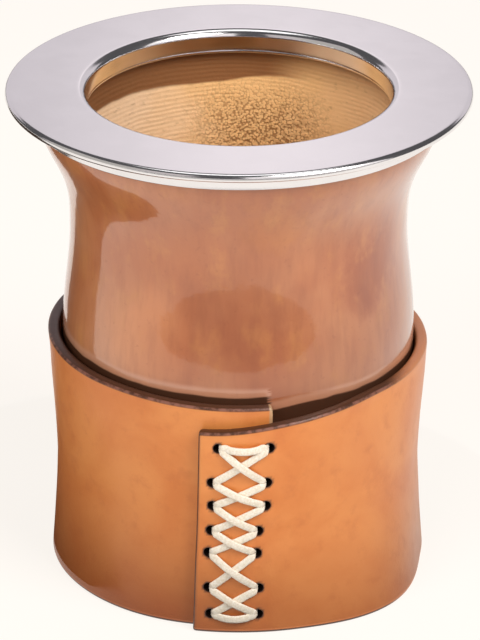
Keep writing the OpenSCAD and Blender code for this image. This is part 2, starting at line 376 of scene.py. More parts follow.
# The steel ring: a flat flange with a rolled edge, a rolled lip and a short collar with a bead.
plateLow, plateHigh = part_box("rim_plate")
skirtLow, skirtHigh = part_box("rim_skirt")
rim = {
    "radius": plateHigh.x / mm,
    "top": plateHigh.z / mm,
    "thickness": 1.3,
    "edgeRadius": 0.9,       # roll along the outer edge
    "mouthRadius": 31.4,
    "lipRadius": 1.6,
    "collarThickness": 0.8,
    "collarFoot": plateLow.z / mm,
    "beadRadius": 0.45,
    "skirtFoot": skirtLow.z / mm,
    "skirtFootRadius": 42.45,
    "skirtThickness": 0.8,
    "hemRadius": 0.38,
    "skirtRadius": skirtHigh.x / mm,
    "columns": 512,
}


def makeRim():
    r, top, edge, lip = rim["radius"], rim["top"], rim["edgeRadius"], rim["lipRadius"]
    under = top - rim["thickness"]
    mouth, back = rim["mouthRadius"], rim["mouthRadius"] + rim["collarThickness"]
    bead = rim["beadRadius"]
    outline = arc((r - edge, top - edge), edge, -150, 88, 26)
    outline += [(r - edge - 0.25, top)]
    outline += [(mix(r - 1.6, mouth + lip + 0.6, u), top) for u in np.linspace(0, 1, 8)]
    outline += arc((mouth + lip, top - lip), lip, 90, 180, 16)
    beadCentre = (back - bead, rim["collarFoot"] + bead)
    outline += [(mouth, top - lip - 1), (mouth, beadCentre[1] + bead * 0.9)]
    outline += arc(beadCentre, bead, 160, 380, 16)
    outline += [(back, beadCentre[1] + bead), (back, under - 0.1), (back + 0.1, under)]
    plate = turned("rimPlate", outline, rim["columns"], sharpAngle=60)

    foot, footZ = rim["skirtFootRadius"], rim["skirtFoot"]
    outer, hemRadius = foot + rim["skirtThickness"], rim["hemRadius"]
    reach = rim["skirtRadius"] - outer
    rise = under - footZ
    face = [(outer + reach * (1 - math.cos(a)), under - rise * (1 - math.sin(a)))
            for a in np.linspace(0.06, math.pi / 2, 18)]
    hem = arc((foot + 0.42, footZ + hemRadius), hemRadius, 190, 350, 10)
    skirt = turned("rimSkirt", hem + face + [(foot + 0.02, under)], rim["columns"], sharpAngle=60)
    return plate, skirt


# The sleeve is one strip of leather wound once round the gourd, its flap laid over its other end in front.
sleeve = {
    "height": 46.5,          # at the flap's free edge
    "rise": 4.5,             # the covered end stands that much higher
    "riseAt": [0, 40, 125, 270],           # angles along the strip where its top edge turns
    "riseShare": [0, 0.55, 0.55, 1.2, 1],
    "thickness": 2.5,
    "fit": 0.4,
    "gripHeight": 23.0,
    "topFlare": 1.3,
    "baseFlare": 1.4,
    "flapStart": -12.0,
    "flapEnd": 14.0,
    "flapBulge": 2.4,
    "lapGap": 0.15,
    "roundTop": 0.8,         # rounding of the worn edges
    "cornerRadius": 0.6,
    "tab": 4.0,              # the covered end is trimmed back this far at its top, in degrees
    "tabDrop": 6.0,
    "meanRadius": 40,
    "faceRows": 76,
    "slant": [-0.9, 1.2],    # of the flap's free edge, at the base and at the top
    "finishDepth": 0.7,      # the dark edge finish reaches this far down the face
    "finishBlur": 0.15,
    "dentDepth": 0.16,
    "rippleDepth": 0.05,
    "pressDepth": 0.32,      # the leather is pulled in round each hole
    "pressReach": 1.55,
    "fineStep": 0.42,        # mesh around the lacing
    "coarseStep": 0.95,
}
stripTurn = 360 + sleeve["flapEnd"] - sleeve["flapStart"]
tabAt = stripTurn - sleeve["tab"]
degreesPerMm = 1 / math.radians(1) / sleeve["meanRadius"]
covered = sleeve["flapEnd"] - sleeve["flapStart"] + 2
seam = {"reach": 40.0, "basePull": 0.6, "laceRoom": 1.2, "topSettle": 60.0, "baseSettle": 95.0}


def bodyRadius(z):
    grip = sleeve["gripHeight"]
    above = np.maximum(0, z - grip) / (sleeve["height"] - grip)
    below = np.maximum(0, grip - z) / grip
    curve = gourdRadius(grip)
    curve = curve + sleeve["topFlare"] * above ** 1.5 + sleeve["baseFlare"] * below ** 1.3
    return np.maximum(curve, gourdRadius(z)) + sleeve["fit"] + sleeve["thickness"]


def seamShift(phi, z):
    window = np.where(np.abs(phi) < seam["reach"], np.cos(np.radians(90 * phi / seam["reach"])) ** 2, 0)
    upward = ease(z / (sleeve["gripHeight"] - 4))
    return window * mix(-seam["basePull"], seam["laceRoom"] - sleeve["fit"], upward)


def stripRadius(s, z):  # outer face, s degrees along the strip from the flap's free edge
    height = np.minimum(1, z / sleeve["height"])
    settle = mix(seam["baseSettle"], seam["topSettle"], height)
    lift = (sleeve["thickness"] + sleeve["lapGap"]) * (1 - ease((s - covered) / (settle - covered)))
    lift = np.where(s > seam["baseSettle"], 0, lift)
    wave = np.sin(np.pi * np.clip((s - covered) / (seam["baseSettle"] - covered), 0, 1)) ** 2
    phi = s + sleeve["flapStart"]
    phi = np.where(phi > 180, phi - 360, phi)
    return bodyRadius(z) + seamShift(phi, z) + lift + sleeve["flapBulge"] * (1 - height) * wave


def stripTop(s):  # the edge climbs beside the lacing, and again round the back
    at = sleeve["riseAt"] + [stripTurn]
    share = sleeve["riseShare"]
    k = max(i for i in range(4) if s >= at[i])
    climb = ease((s - at[k]) / (at[k + 1] - at[k]))
    return float(sleeve["height"] + sleeve["rise"] * mix(share[k], share[k + 1], climb))


def tabEnd():  # angle at which the covered end shows
    return sleeve["flapEnd"] - sleeve["tab"]


# Lacing: holes in rows from the top, punched by hand, and one lace that climbs and comes down again.
lacing = {
    "shares": [1, 0.79, 0.65, 0.5, 0.37, 0.16, 0],
    "left": [-1.1, 0.1, 0, 0.3, 0.8, 0.9, 0.6],
    "right": [1.3, 0.8, 0.6, -0.9, -1.2, -0.7, -0.7],
    "gauge": 5.0,
    "topMargin": 3.5,
    "baseMargin": 4.5,
    "holeRadius": 1.05,
    "punchDepth": 16,
    "laceDiameter": 0.85,
    "pairOffset": 0.495,
    "pullIn": 0.5,           # the taut lace leaves each hole at its inner edge
    "pullApart": 0.28,
    "laceWidth": 1.62,       # the lace lies flat on the leather
    "laceThickness": 0.62,
    "laceSides": 28,
    "ringStep": 0.16,
    "strandDepth": 0.05,
    "barSag": 0.35,
    "behind": 0.5,           # hidden runs lie this far inside the lining
    "tail": 2.5,
}
rows = len(lacing["shares"])


def holeHeight(k):
    return mix(lacing["baseMargin"], sleeve["height"] - lacing["topMargin"], lacing["shares"][k])


def holeAcross(side, k):
    return side * (lacing["gauge"] + (lacing["left"] if side < 0 else lacing["right"])[k])


def holeAngle(side, k):
    return math.degrees(math.asin(holeAcross(side, k) / (bodyRadius(holeHeight(k)) + sleeve["thickness"])))


def faceRadius(phi, z):
    return float(stripRadius(phi - sleeve["flapStart"], z))


def liningRadius(phi, z):
    return float(stripRadius(phi - sleeve["flapStart"] + 360, z)) - sleeve["thickness"]


def holeCentres():
    return [(side, k) for k in range(rows) for side in (-1, 1)]


def stripSections():  # places along the strip: close at its two ends, where the lacing is
    fine = sleeve["fineStep"] * degreesPerMm
    coarse = sleeve["coarseStep"] * degreesPerMm
    ends = covered + 4
    spaced = np.concatenate([np.arange(0, ends, fine), np.arange(ends, stripTurn - ends, coarse),
                             np.linspace(stripTurn - ends, stripTurn, int(ends / fine) + 1)])
    # closer still where the ends are rounded
    near = sleeve["roundTop"] * degreesPerMm * np.array([0.04, 0.16, 0.35, 0.62, 1.0])
    inner = spaced[(spaced > near[-1]) & (spaced < stripTurn - near[-1])]
    inner = inner[np.abs(inner - tabAt) > near[-1]]
    atTab = np.concatenate([tabAt - near[::-1], [tabAt + 0.05, tabAt + 0.6]])
    return np.sort(np.concatenate([near, inner, atTab, stripTurn - near[::-1]]))


def drawnIn(distance, radius):  # by a rounding of that radius, at a distance from the end
    return radius * (1 - math.sqrt(max(0, 1 - (1 - min(1, distance / radius)) ** 2)))


def stripSection(s):
    # up the outer face, over the top edge, down the inner face and round the base
    rounding, thickness = sleeve["roundTop"], sleeve["thickness"]
    overTop = np.radians(np.linspace(0, 180, 13))[1:-1]
    underBase = np.radians(np.linspace(180, 360, 13))[1:-1]
    fromEnd = min(s, stripTurn - s) / degreesPerMm
    fromCorner = fromEnd if s < stripTurn / 2 or s > tabAt else (tabAt - s) / degreesPerMm
    corner = drawnIn(fromCorner, sleeve["cornerRadius"])
    top = stripTop(s) - corner - (sleeve["tabDrop"] if s > tabAt else 0)
    base = corner * 0.5
    face = base + rounding + (top - base - 2 * rounding) * np.linspace(0, 1, sleeve["faceRows"])
    z = np.concatenate([face, top - rounding + rounding * np.sin(overTop), face[::-1],
                        base + rounding + rounding * np.sin(underBase)])
    # how deep in the thickness each point lies, 0 on the outer face and 1 on the inner one
    deep = np.concatenate([np.zeros(len(face)), (1 - squared(np.cos(overTop))) / 2,
                           np.ones(len(face)), (1 - squared(np.cos(underBase))) / 2])
    squeeze = drawnIn(fromEnd, rounding) / thickness
    deep = squeeze + (1 - 2 * squeeze) * deep
    radius = stripRadius(s, np.clip(z, 0, None)) - thickness * deep
    lowSlant, highSlant = sleeve["slant"]
    slant = mix(lowSlant, highSlant, z / sleeve["height"]) * (1 - ramp01(s, 0.3, 3.2))

    # where the edge finish lies, where it is rubbed, and where the cut end is left raw
    finish, blur = sleeve["finishDepth"], sleeve["finishBlur"]
    edge = 1 - ramp01(np.minimum(z - base, top - z), finish - blur, finish + blur)
    edge[-len(underBase):] = 1
    edge = np.maximum(edge, 1 - ramp01(fromEnd, 0.15, 0.6))
    crest = np.zeros(len(z))
    crest[len(face):len(face) + 4] = [0.7, 1, 1, 0.5]
    raw = np.full(len(z), 1.0 if s > tabAt - 0.6 * degreesPerMm else 0.0)
    return around(s + sleeve["flapStart"] + slant, radius, z), edge, crest, raw


def handWorn(rings):  # long dents on the faces, and leather pulled in round the holes
    outerFace = np.arange(rings.shape[1]) < sleeve["faceRows"]
    dents = sleeve["dentDepth"] * cloud(rings, 24, (1, 1, 1), 2.0)
    dents += sleeve["rippleDepth"] * cloud(rings, 7, (1, 1, 1), 7.0)
    dents *= ramp01(rings[..., 2], 0.5, 5)
    for side, k in holeCentres():
        phi = holeAngle(side, k)
        centre = around(phi, faceRadius(phi, holeHeight(k)), holeHeight(k))
        away = np.linalg.norm(rings - centre, axis=-1)
        pressed = sleeve["pressDepth"] * np.exp(-(away / sleeve["pressReach"]) ** 2)
        dents -= np.where(outerFace[None, :], pressed, 0)
    return pushOut(rings, dents)


def punchHoles(strip):  # through both layers
    cutters = []
    for side, k in holeCentres():
        bpy.ops.mesh.primitive_cylinder_add(vertices=28, radius=lacing["holeRadius"] * mm,
                                            depth=lacing["punchDepth"] * mm)
        cutter = bpy.context.object
        place = Vector((0, 1 - sleeve["meanRadius"], holeHeight(k))) * mm
        cutter.matrix_world = (Matrix.Rotation(math.radians(holeAngle(side, k)), 4, "Z")
                               @ Matrix.Translation(place) @ Matrix.Rotation(math.pi / 2, 4, "X"))
        cutters.append(cutter)
    group = bpy.data.collections.new("punches")
    for cutter in cutters:
        group.objects.link(cutter)
    punch = strip.modifiers.new("punch", "BOOLEAN")
    punch.operand_type = "COLLECTION"
    punch.collection = group
    punch.solver = "EXACT"
    bpy.context.view_layer.objects.active = strip
    bpy.ops.object.modifier_apply(modifier=punch.name)
    for cutter in cutters:
        bpy.data.objects.remove(cutter)
    bpy.data.collections.remove(group)


def shadeInHoles(points):  # painted shade in each hole and darker pressed leather at its rim: 1 in and at each hole, 0 on the leather round it
    nearest = np.full(len(points), 99.0)
    for side, k in holeCentres():
        phi = math.radians(holeAngle(side, k))
        axis = np.array([math.sin(phi), -math.cos(phi)])
        along = points[:, :2] @ axis
        sideways = points[:, :2] @ np.array([axis[1], -axis[0]])
        away = np.hypot(sideways, points[:, 2] - holeHeight(k)) - lacing["holeRadius"]
        nearest = np.minimum(nearest, np.where(along > 0, away, 99))
    return 1 - ramp01(nearest, 0.05, 0.4)


def makeSleeve():
    sections = [stripSection(s) for s in stripSections()]
    rings, edges, crests, raws = (np.array(part) for part in zip(*sections))
    strip = swept("leatherSleeve", handWorn(rings), sharpAngle=70)
    setPointValues(strip, "edgeWear", edges)
    setPointValues(strip, "edgeCrest", crests)
    setPointValues(strip, "rawEdge", raws)
    punchHoles(strip)
    setPointValues(strip, "holeShade", shadeInHoles(pointsOf(strip)))
    return strip


def besideHole(side, k, x, z, r):
    return around(holeAngle(side, k) + math.degrees(x / r), r, holeHeight(k) + z)


def laceIn(side, k, outerAngle, innerAngle, run, lift):
    # over the outer mouth, in through both layers, round the inner mouth: points with their widths
    phi, z = holeAngle(side, k), holeHeight(k)
    rOut, rIn = faceRadius(phi, z), liningRadius(phi, z)
    offset = lacing["pairOffset"]
    start = np.array([-side * lacing["pullIn"], lacing["pullApart"] * (1 if outerAngle > 0 else -1)])
    end = offset * np.array([math.cos(math.radians(innerAngle)), math.sin(math.radians(innerAngle))])
    way = []
    # how far along, how deep and how flat the lace is as it bends in
    bend = ((1.1, 0, 1), (0.55, 0.06, 0.8), (0.2, 0.3, 0.45), (0.0, 0.75, 0.1), (0.0, 1.3, 0))
    for along, drop, flat in bend:
        p = start + run * along
        way.append((besideHole(side, k, p[0], p[1], rOut + lift - drop), flat))
    for u in (0.5, 0.75):
        p = mix(start, end, ease((u - 0.2) / 0.6))
        way.append((besideHole(side, k, p[0], p[1], mix(rOut, rIn, u)), 0))
    for along, drop in ((0, 0.5), (0.15, 0.15), (0.5, 0)):
        r = rIn - lacing["behind"] + drop
        way.append((besideHole(side, k, end[0] - side * along, end[1], r), 0.0))
    return way


def laceRoute():
    # stitches from the lowest left hole up, the bar across the top, and down again over the first ones
    stitches = [(k, k - 1) for k in range(rows - 1, 0, -1)] + [(0, 0)]
    stitches += [(k, k + 1) for k in range(rows - 1)] + [(rows - 1, rows - 1)]
    offset = lacing["pairOffset"]
    lift = lacing["laceThickness"] / 2 + 0.06
    tailRadius = liningRadius(0, lacing["baseMargin"]) - lacing["behind"]
    route = [(besideHole(-1, rows - 1, lacing["tail"], -offset, tailRadius), 0.0, None)]
    for a, b in stitches:
        bar = a == b
        highLeft = b < a or (bar and a == 0)
        highRight = b > a or (bar and a == 0)
        run = np.array([holeAcross(1, b) - holeAcross(-1, a), holeHeight(b) - holeHeight(a)])
        run = run / np.linalg.norm(run)
        over = lacing["laceThickness"] + 0.08 if b > a or bar else 0
        leave = laceIn(-1, a, 105 if highLeft else -75, 270 if highLeft else 90, run, lift)[::-1]
        enter = laceIn(1, b, 105 if highRight else -75, 90 if highRight else -90, -run, lift)
        middle = []
        apart = lacing["pullApart"]
        fromZ = holeHeight(a) + (apart if highLeft else -apart)
        toZ = holeHeight(b) + (apart if highRight else -apart)
        fromX, toX = holeAcross(-1, a) + lacing["pullIn"], holeAcross(1, b) - lacing["pullIn"]
        for u in np.linspace(0.2, 0.8, 7):
            z = mix(fromZ, toZ, u)
            phi = math.degrees(mix(fromX, toX, u) / (bodyRadius(z) + sleeve["thickness"]))
            sag = lacing["barSag"] * math.sin(math.pi * u) if bar else 0
            ride = lift + over * math.sin(math.pi * u) ** 2
            middle.append((around(phi, faceRadius(phi, z) + ride, z - sag), 1.0))
        across = np.array([-run[1], run[0]])
        for point, flat in leave + middle + enter:
            route.append((point, flat, across))
        if (a, b) != stitches[-1]:
            high = b > a or (bar and a == 0)
            phi = (holeAngle(-1, b) + holeAngle(1, b)) / 2
            z = holeHeight(b) + (offset if high else -offset)
            route.append((around(phi, liningRadius(phi, z) - lacing["behind"], z), 0.0, None))
    route.append((besideHole(1, rows - 1, -lacing["tail"], -offset, tailRadius), 0.0, None))
    return route


def flatDirections(route):  # the flat side's direction, carried over the hidden runs
    widths = []
    last = np.array([0.0, 0.0, 1.0])
    for p, flat, across in route:
        if across is not None:
            phi = math.atan2(p[0], -p[1])
            last = np.array([math.cos(phi) * across[0], math.sin(phi) * across[0], across[1]])
        widths.append(last)
    return np.array(widths)


def smoothLace():  # the centre line, how flat it is, and its two directions across
    route = laceRoute()
    points = np.array([p for p, flat, across in route])
    flats = np.array([flat for p, flat, across in route])
    widths = flatDirections(route)
    spacing = np.linalg.norm(np.diff(points, axis=0), axis=1)
    at = np.concatenate([[0], np.cumsum(np.sqrt(spacing))])
    steps = [max(3, int(gap / lacing["ringStep"])) for gap in spacing]
    spans = [np.linspace(at[i], at[i + 1], steps[i], endpoint=False) for i in range(len(steps))]
    fine = np.concatenate(spans + [[at[-1]]])
    curve = catmull(at, points, fine)
    flat = ease(np.interp(fine, at, flats))
    side = np.stack([np.interp(fine, at, widths[:, c]) for c in range(3)], -1)
    along = np.gradient(curve, axis=0)
    along /= np.linalg.norm(along, axis=1)[:, None]
    side -= np.sum(side * along, axis=1)[:, None] * along
    side /= np.maximum(np.linalg.norm(side, axis=1)[:, None], 1e-6)
    return curve, flat, side, np.cross(along, side)


def makeLace():
    curve, flat, side, up = smoothLace()
    turn = np.radians(np.arange(lacing["laceSides"]) * 360 / lacing["laceSides"])
    length = np.concatenate([[0], np.cumsum(np.linalg.norm(np.diff(curve, axis=0), axis=1))])
    halfWidth = mix(lacing["laceDiameter"] / 2, lacing["laceWidth"] / 2, flat)
    halfWidth = halfWidth * (1 + 0.07 * np.array([noise.noise((l / 2.3, 0.5, 0.1)) for l in length]))
    halfHigh = mix(lacing["laceDiameter"] / 2, lacing["laceThickness"] / 2, flat)
    rings = []
    for i in range(len(curve)):
        corner = mix(1.0, 0.7, flat[i])  # squarer section where it lies flat
        c = np.sign(np.cos(turn)) * np.abs(np.cos(turn)) ** corner
        d = np.sign(np.sin(turn)) * np.abs(np.sin(turn)) ** corner
        # strands run along the lace and lean a little
        depth = lacing["strandDepth"] * (0.6 + 0.4 * noise.noise((length[i] / 1.2, 3.3, 0)))
        strands = 1 + depth * np.sin(turn * 9 + length[i] * 0.5)
        rings.append(curve[i] + halfWidth[i] * (c * strands)[:, None] * side[i]
                     + halfHigh[i] * (d * strands)[:, None] * up[i])
    return swept("waxedLace", rings, sharpAngle=80)


# Finishes: each one's colours, the sizes of its marks in millimetres, and how strongly they show.
skinFinish = {
    "deep": colour(0.27, 0.065, 0.016),
    "warm": colour(0.45, 0.132, 0.038),
    "pale": colour(0.56, 0.215, 0.082),
    "golden": colour(0.62, 0.25, 0.055),
    "dull": colour(0.74, 0.66, 0.60),       # near the leather
    "rubbed": colour(0.66, 0.34, 0.22),
    "gapShadeColour": colour(0.035, 0.012, 0.005),
    "cloudSize": 22,
    "mottleSize": 7,
    "streakSize": 2.2,
    "speckSize": 1.1,
    "goldenShare": 0.4,
    "streakShare": 0.22,
    "speckShare": 0.25,
    "dullShare": 0.8,
    "rubbedShare": 0.55,
    "gapShadeShare": 0.93,
}
litAndShadedPatches = [  # painted light and painted shade in soft patches: direction, height and reach in degrees and millimetres, then a tint and its strength
    (0, 71, 17, (0.60, 0.50, 0.48), 0.45),
    (50, 74, 11, (0.72, 0.48, 0.22), 0.8),
    (12, 91, 9, (1.1, 1.1, 0.7), 0.7),
    (-30, 62, 14, (1.2, 1.2, 1.15), 0.8),
]


def gourdSkinFinish():
    skin = skinFinish
    material, tree, shader, where = startMaterial("gourdSkin", Roughness=0.3, Specular_IOR_Level=0.5,
                                                  Coat_IOR=1.6, Coat_Roughness=0.06)
    across, up = acrossAndUp(tree, where)
    clouds = noiseField(tree, where, skin["cloudSize"], 3, 0.5, (1, 1, 1.3), (0.013, 0, 0), 0.4)
    mottle = noiseField(tree, where, skin["mottleSize"], 4, 0.6, (1, 1, 1.6))
    streaks = noiseField(tree, where, skin["streakSize"], 3, 0.6, (1, 1, 6))
    specks = noiseField(tree, where, skin["speckSize"], 2, 0.5)
    base = blendColours(tree, ramp(tree, clouds, 0.35, 0.68), skin["warm"], skin["pale"])
    base = layOver(tree, base, skin["golden"], ramp(tree, mottle, 0.5, 0.72), skin["goldenShare"])
    base = layOver(tree, base, skin["deep"], ramp(tree, streaks, 0.42, 0.72), skin["streakShare"])
    base = layOver(tree, base, skin["deep"], ramp(tree, specks, 0.62, 0.78), skin["speckShare"])
    low = times(tree, oneMinus(tree, ramp(tree, up, 0.056, 0.080)), ramp(tree, across, -0.034, -0.012))
    base = layOver(tree, base, skin["dull"], low, skin["dullShare"], "MULTIPLY")

    wavering = times(tree, combine(tree, "SUBTRACT", mottle, 0.5), 0.02)
    # soft patches painted lighter and darker: painted light and painted shade on the skin
    for phi, height, reach, tint, strength in litAndShadedPatches:
        centre = Vector(around(phi, 36, height)) * mm
        away = combine(tree, "ADD", distanceTo(tree, where, centre), wavering)
        paintedPatch = ramp(tree, away, reach * mm, reach * mm * 0.3)
        base = layOver(tree, base, colour(*tint), paintedPatch, strength, "MULTIPLY")

    base = layOver(tree, base, skin["rubbed"], pointValue(tree, "rubbedByLeather"), skin["rubbedShare"])
    # painted shade of the gap and painted reflection of the leather's dark edge, just above the leather; the
    # coat is thinned there
    paintedShade = pointValue(tree, "gapShade")
    base = layOver(tree, base, skin["gapShadeColour"], paintedShade, skin["gapShadeShare"])
    tree.links.new(base, shader.inputs["Base Color"])
    tree.links.new(oneMinus(tree, times(tree, paintedShade, 0.9)), shader.inputs["Coat Weight"])
    relief = combine(tree, "ADD", times(tree, mottle, 0.5), times(tree, streaks, 0.12))
    addBump(tree, shader, relief, 0.35, 0.35)
    addBump(tree, shader, mottle, 0.2, 0.3, "Coat Normal")
    tree.links.new(spread(tree, mottle, 0.24, 0.4), shader.inputs["Roughness"])
    return material


pithLook = {
    "pale": colour(0.93, 0.66, 0.42),
    "golden": colour(0.88, 0.53, 0.23),
    "brown": colour(0.90, 0.56, 0.29),
    "pit": colour(0.26, 0.11, 0.035),
    "paintedShade": colour(0.25, 0.105, 0.038),    # painted shadow of the collar, a band below it
    "grainSize": 1.3,
    "patchSize": 11,
    "pebbleScale": 1900.0,
    "grainShare": 0.3,
    "hollowShare": 0.42,
    "crackShare": 0.75,
}


def pithFinish():
    look = pithLook
    material, tree, shader, where = startMaterial("gourdPith", Roughness=0.85, Specular_IOR_Level=0.25)
    across, up = acrossAndUp(tree, where)
    grain = noiseField(tree, where, look["grainSize"], 4, 0.65, (1.4, 1.4, 0.8))
    patches = noiseField(tree, where, look["patchSize"], 2, 0.5)
    # paler on the left, golden in the middle and brown to the right: painted light and shade across the
    # inside, wavering with the patches
    drift = combine(tree, "ADD", across, times(tree, patches, 0.02))
    base = blendColours(tree, ramp(tree, drift, -0.016, 0.010), look["pale"], look["golden"])
    base = blendColours(tree, ramp(tree, drift, 0.016, 0.042), base, look["brown"])
    base = layOver(tree, base, look["pit"], ramp(tree, grain, 0.56, 0.72), look["grainShare"])
    # painted shade in the scraped pits and at the bottoms of the grooves
    base = layOver(tree, base, look["pit"], pointValue(tree, "hollows"), look["hollowShare"])

    # pebbly flesh in the middle, with painted shade in the cracks between the pebbles
    pebbles = cells(tree, where, look["pebbleScale"])
    pebbly = times(tree, ramp(tree, across, -0.014, 0.0), ramp(tree, up, 0.096, 0.084))
    pebbly = times(tree, pebbly, oneMinus(tree, ramp(tree, across, 0.010, 0.022)))
    cracks = times(tree, ramp(tree, pebbles, 0.42, 0.75), pebbly)
    base = layOver(tree, base, look["pit"], cracks, look["crackShare"])

    # painted shadow of the collar: the band ends sharply on one side and fades on the other
    foot = rim["collarFoot"] * mm
    level = combine(tree, "ADD", up, times(tree, combine(tree, "SUBTRACT", patches, 0.5), 0.0018))
    level = combine(tree, "ADD", level, times(tree, ramp(tree, across, 0.007, -0.004), 0.0012))
    sharp = ramp(tree, level, foot - 0.0060, foot - 0.0053)
    soft = times(tree, ramp(tree, level, foot - 0.0075, foot + 0.001), 0.75)
    collarShadow = blendColours(tree, ramp(tree, across, 0.005, 0.017), sharp, soft)
    base = blendColours(tree, collarShadow, base, look["paintedShade"])
    tree.links.new(base, shader.inputs["Base Color"])
    relief = combine(tree, "SUBTRACT", times(tree, grain, 0.5), times(tree, cracks, 0.8))
    addBump(tree, shader, relief, 0.7, 0.3)
    return material


steelLook = {
    "dark": colour(0.80, 0.785, 0.79),
    "bright": colour(0.84, 0.825, 0.83),
    "smearSize": 9,
    "smooth": 0.11,
    "dull": 0.17,
}


def steelFinish():
    material, tree, shader, where = startMaterial("rimSteel", Metallic=1.0, Roughness=0.1)
    smears = noiseField(tree, where, steelLook["smearSize"], 3, 0.55)
    tone = blendColours(tree, ramp(tree, smears, 0.3, 0.7), steelLook["dark"], steelLook["bright"])
    tree.links.new(tone, shader.inputs["Base Color"])
    tree.links.new(spread(tree, smears, steelLook["smooth"], steelLook["dull"]), shader.inputs["Roughness"])
    addBump(tree, shader, noiseField(tree, where, 0.35, 2, 0.5), 0.015, 0.02)
    return material


leatherLook = {
    "tan": colour(0.68, 0.205, 0.045),
    "light": colour(0.77, 0.275, 0.072),
    "ruddy": colour(0.56, 0.155, 0.040),
    "burnished": colour(0.036, 0.013, 0.008),
    "rubbed": colour(0.20, 0.085, 0.062),   # where the edge finish has worn through
    "bare": colour(0.56, 0.22, 0.095),
    "base": colour(0.27, 0.060, 0.018),
    "raw": colour(0.55, 0.36, 0.20),
    "paintedShade": colour(0.02, 0.008, 0.006),
    "cloudSize": 19,
    "mottleSize": 4.5,
    "grainScale": 1900.0,
    "poreSize": 0.7,
    "mottleShare": 0.4,
    "poreShare": 0.18,
}


def leatherFinish():
    look = leatherLook
    material, tree, shader, where = startMaterial("tanLeather", Roughness=0.42, Specular_IOR_Level=0.36,
                                                  Coat_Weight=0.3, Coat_Roughness=0.3)
    across, up = acrossAndUp(tree, where)
    clouds = noiseField(tree, where, look["cloudSize"], 4, 0.55, (1, 1, 1), (0.03, 0, 0), 0.5)
    mottle = noiseField(tree, where, look["mottleSize"], 4, 0.6)
    grain = cells(tree, where, look["grainScale"])
    pores = noiseField(tree, where, look["poreSize"], 3, 0.6)
    base = blendColours(tree, ramp(tree, clouds, 0.32, 0.68), look["tan"], look["light"])
    base = layOver(tree, base, look["ruddy"], ramp(tree, mottle, 0.5, 0.75), look["mottleShare"])
    # painted shade: darker towards the foot, most of all on the shaded side
    low = oneMinus(tree, ramp(tree, up, -0.008, 0.030))
    side = combine(tree, "SUBTRACT", 0.85, times(tree, ramp(tree, across, -0.012, 0.012), 0.35))
    base = layOver(tree, base, look["base"], low, side)
    base = layOver(tree, base, look["ruddy"], ramp(tree, pores, 0.6, 0.75), look["poreShare"])

    # the dark finish on the cut edges, rubbed through along its crest
    worn = ramp(tree, pointValue(tree, "edgeCrest"), 0.35, 0.8)
    rubs = ramp(tree, noiseField(tree, where, 1.6, 3, 0.6), 0.36, 0.62)
    finish = layOver(tree, look["burnished"], look["rubbed"], worn, rubs)
    finish = blendColours(tree, ramp(tree, across, 0.030, 0.037), finish, look["bare"])
    base = layOver(tree, base, finish, pointValue(tree, "edgeWear"), 0.96)
    base = layOver(tree, base, look["raw"], pointValue(tree, "rawEdge"), 0.8)
    # painted shade in the holes, and darker pressed leather at their rims
    base = blendColours(tree, pointValue(tree, "holeShade"), base, look["paintedShade"])
    tree.links.new(base, shader.inputs["Base Color"])
    relief = combine(tree, "ADD", times(tree, grain, 0.5), times(tree, mottle, 1.2))
    addBump(tree, shader, relief, 0.3, 0.14)
    tree.links.new(spread(tree, mottle, 0.34, 0.52), shader.inputs["Roughness"])
    return material


laceLook = {
    "shadow": colour(0.80, 0.70, 0.55),
    "cotton": colour(0.92, 0.85, 0.74),
    "soil": colour(0.66, 0.50, 0.34),
    "fibreSize": 0.45,
    "soilSize": 6,
    "soilShare": 0.3,
}


def laceFinish():
    look = laceLook
    material, tree, shader, where = startMaterial("waxedLace", Roughness=0.5, Specular_IOR_Level=0.5,
                                                  Sheen_Weight=0.15)
    fibres = noiseField(tree, where, look["fibreSize"], 3, 0.6)
    soil = noiseField(tree, where, look["soilSize"], 2, 0.5)
    base = blendColours(tree, ramp(tree, fibres, 0.35, 0.7), look["shadow"], look["cotton"])
    base = layOver(tree, base, look["soil"], ramp(tree, soil, 0.5, 0.8), look["soilShare"])
    tree.links.new(base, shader.inputs["Base Color"])
    addBump(tree, shader, fibres, 0.35, 0.08)
    return material


def dress(piece, node, material):
    piece.data.materials.clear()
    piece.data.materials.append(material)
    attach(piece, "root")
    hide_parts(node)


shell, pith = makeGourd()
gourdSkin = gourdSkinFinish()
dress(shell, "gourd", gourdSkin)
dress(pith, "gourd", pithFinish())
print("gourd made:", len(shell.data.polygons), "and", len(pith.data.polygons), "faces")

plate, skirt = makeRim()
steel = steelFinish()
dress(plate, "rim_plate", steel)
dress(skirt, "rim_skirt", steel)
print("steel rim made")

strip = makeSleeve()
dress(strip, "sleeve", leatherFinish())
print("sleeve made:", len(strip.data.polygons), "faces")

lace = makeLace()
dress(lace, "lace", laceFinish())
print("lace made:", len(lace.data.polygons), "faces")


